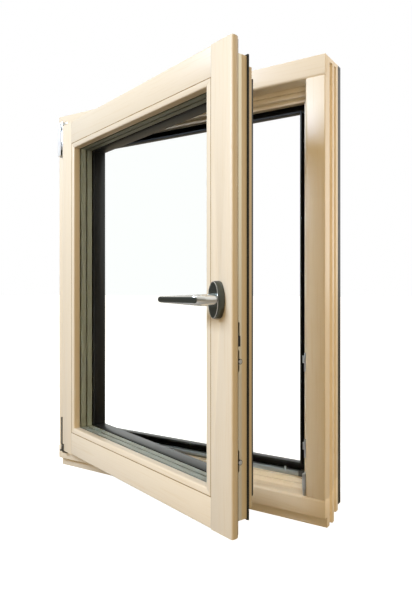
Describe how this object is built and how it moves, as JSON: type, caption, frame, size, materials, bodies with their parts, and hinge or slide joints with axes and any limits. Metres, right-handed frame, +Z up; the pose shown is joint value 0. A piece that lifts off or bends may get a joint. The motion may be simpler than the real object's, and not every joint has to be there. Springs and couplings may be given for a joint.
{
  "type": "tilt-and-turn casement window",
  "caption": "Timber window with black metal cladding outside, triple glazing, and a sash that turns and tilts inwards on hinges, locked by a lever handle.",
  "frame": {"origin": "sill's underside, at the middle of its length and midway between its inner recess and its outer face", "axes": "+X across the window towards the lock side, +Y outdoors, +Z up"},
  "size_m": [0.8, 0.3953, 1],
  "materials": {
    "frame_timber": "clear satin lacquer on softwood",
    "sash_timber": "clear satin lacquer on softwood",
    "cladding": "black satin powder coat on aluminium",
    "clip_plastic": "moulded plastic",
    "gasket": "matt black rubber",
    "rail_aluminium": "natural anodised",
    "dark_plastic": "dark grey moulded plastic",
    "zinc_steel": "bright zinc plate",
    "cover_silver": "pale silver coating",
    "dark_hinge": "dark coating",
    "glass": "clear float glass",
    "spacer": "grey-green warm-edge spacer",
    "handle_titanium": "dark titanium anodised look",
    "handle_silver": "satin anodised"
  },
  "bodies": {
    "frame": {"frame_head": "frame_timber", "frame_sill": "frame_timber", "jamb_hinge_side": "frame_timber", "jamb_lock_side": "frame_timber", "cladding_head": "cladding", "cladding_sill": "cladding", "cladding_hinge_side": "cladding", "cladding_lock_side": "cladding", "cladding_clips": "clip_plastic", "frame_gasket": "gasket", "rain_rail": "rail_aluminium", "rail_end_caps": "dark_plastic", "rail_pegs": "rail_aluminium", "strikers": "zinc_steel", "striker_screws": "zinc_steel", "sash_lifter": "zinc_steel", "stay_bearing": "zinc_steel", "stay_cover": "cover_silver", "corner_bearing": "dark_hinge", "hinge_pins": "zinc_steel", "bearing_screws": "zinc_steel"},
    "hinge_carrier": {"corner_knuckle": "dark_hinge"},
    "stay": {"stay_arm": "zinc_steel"},
    "sash": {"sash_stile_hinge_side": "sash_timber", "sash_stile_lock_side": "sash_timber", "sash_rail_top": "sash_timber", "sash_rail_bottom": "sash_timber", "bead_hinge_side": "sash_timber", "bead_lock_side": "sash_timber", "bead_top": "sash_timber", "bead_bottom": "sash_timber", "pane_inner": "glass", "pane_middle": "glass", "pane_outer": "glass", "spacers": "spacer", "setting_blocks": "clip_plastic", "sash_cladding_hinge_side": "cladding", "sash_cladding_lock_side": "cladding", "sash_cladding_top": "cladding", "sash_cladding_bottom": "cladding", "outer_glazing_gasket": "gasket", "centre_gasket": "gasket", "lip_gasket": "gasket", "lock_faceplate": "zinc_steel", "stay_guide": "zinc_steel", "bottom_faceplate": "zinc_steel", "corner_drive_top": "zinc_steel", "corner_drive_bottom": "zinc_steel", "gearbox": "zinc_steel", "hardware_screws": "zinc_steel", "corner_band": "dark_hinge", "rosette_base": "handle_titanium", "rosette_cover": "handle_titanium"},
    "handle": {"handle_neck": "handle_silver", "handle_lever": "handle_titanium", "handle_spindle": "zinc_steel", "gearbox_follower": "zinc_steel"},
    "lock_rod": {"lock_rod": "zinc_steel"},
    "top_rod": {"top_rod": "zinc_steel"},
    "bottom_rod": {"bottom_rod": "zinc_steel"}
  },
  "joints": [
    {"name": "sash_turn", "type": "hinge", "parent": "frame", "child": "hinge_carrier", "pos_m": [-0.37, -0.05725, 0.06], "axis": [0, 0, -1], "range_deg": [-18.64, 81.36]},
    {"name": "sash_tilt", "type": "hinge", "parent": "hinge_carrier", "child": "sash", "pos_m": [-0.37, -0.05725, 0.06], "axis": [0.9475, -0.3196, 0], "range_deg": [0, 8]},
    {"name": "stay_swing", "type": "hinge", "parent": "hinge_carrier", "child": "stay", "pos_m": [-0.37, -0.05725, 0.949], "axis": [0, 0, -1], "range_deg": [0, 17.7]},
    {"name": "handle_turn", "type": "hinge", "parent": "sash", "child": "handle", "pos_m": [0.28915, -0.28698, 0.485], "axis": [-0.3196, -0.9475, 0], "range_deg": [-90, 90]},
    {"name": "lock_rod_slide", "type": "slide", "parent": "sash", "child": "lock_rod", "axis": [0, 0, -1], "range_m": [-0.017, 0.017]},
    {"name": "top_rod_slide", "type": "slide", "parent": "sash", "child": "top_rod", "axis": [0.9475, -0.3196, 0], "range_m": [-0.017, 0.017]},
    {"name": "bottom_rod_slide", "type": "slide", "parent": "sash", "child": "bottom_rod", "axis": [-0.9475, 0.3196, 0], "range_m": [-0.017, 0.017]}
  ],
  "couplings": [
    {"joint": "stay_swing", "follows": "sash_tilt", "ratio": 2.21},
    {"joint": "lock_rod_slide", "follows": "handle_turn", "m_per_rad": 0.0108},
    {"joint": "top_rod_slide", "follows": "handle_turn", "m_per_rad": 0.0108},
    {"joint": "bottom_rod_slide", "follows": "handle_turn", "m_per_rad": 0.0108}
  ]
}
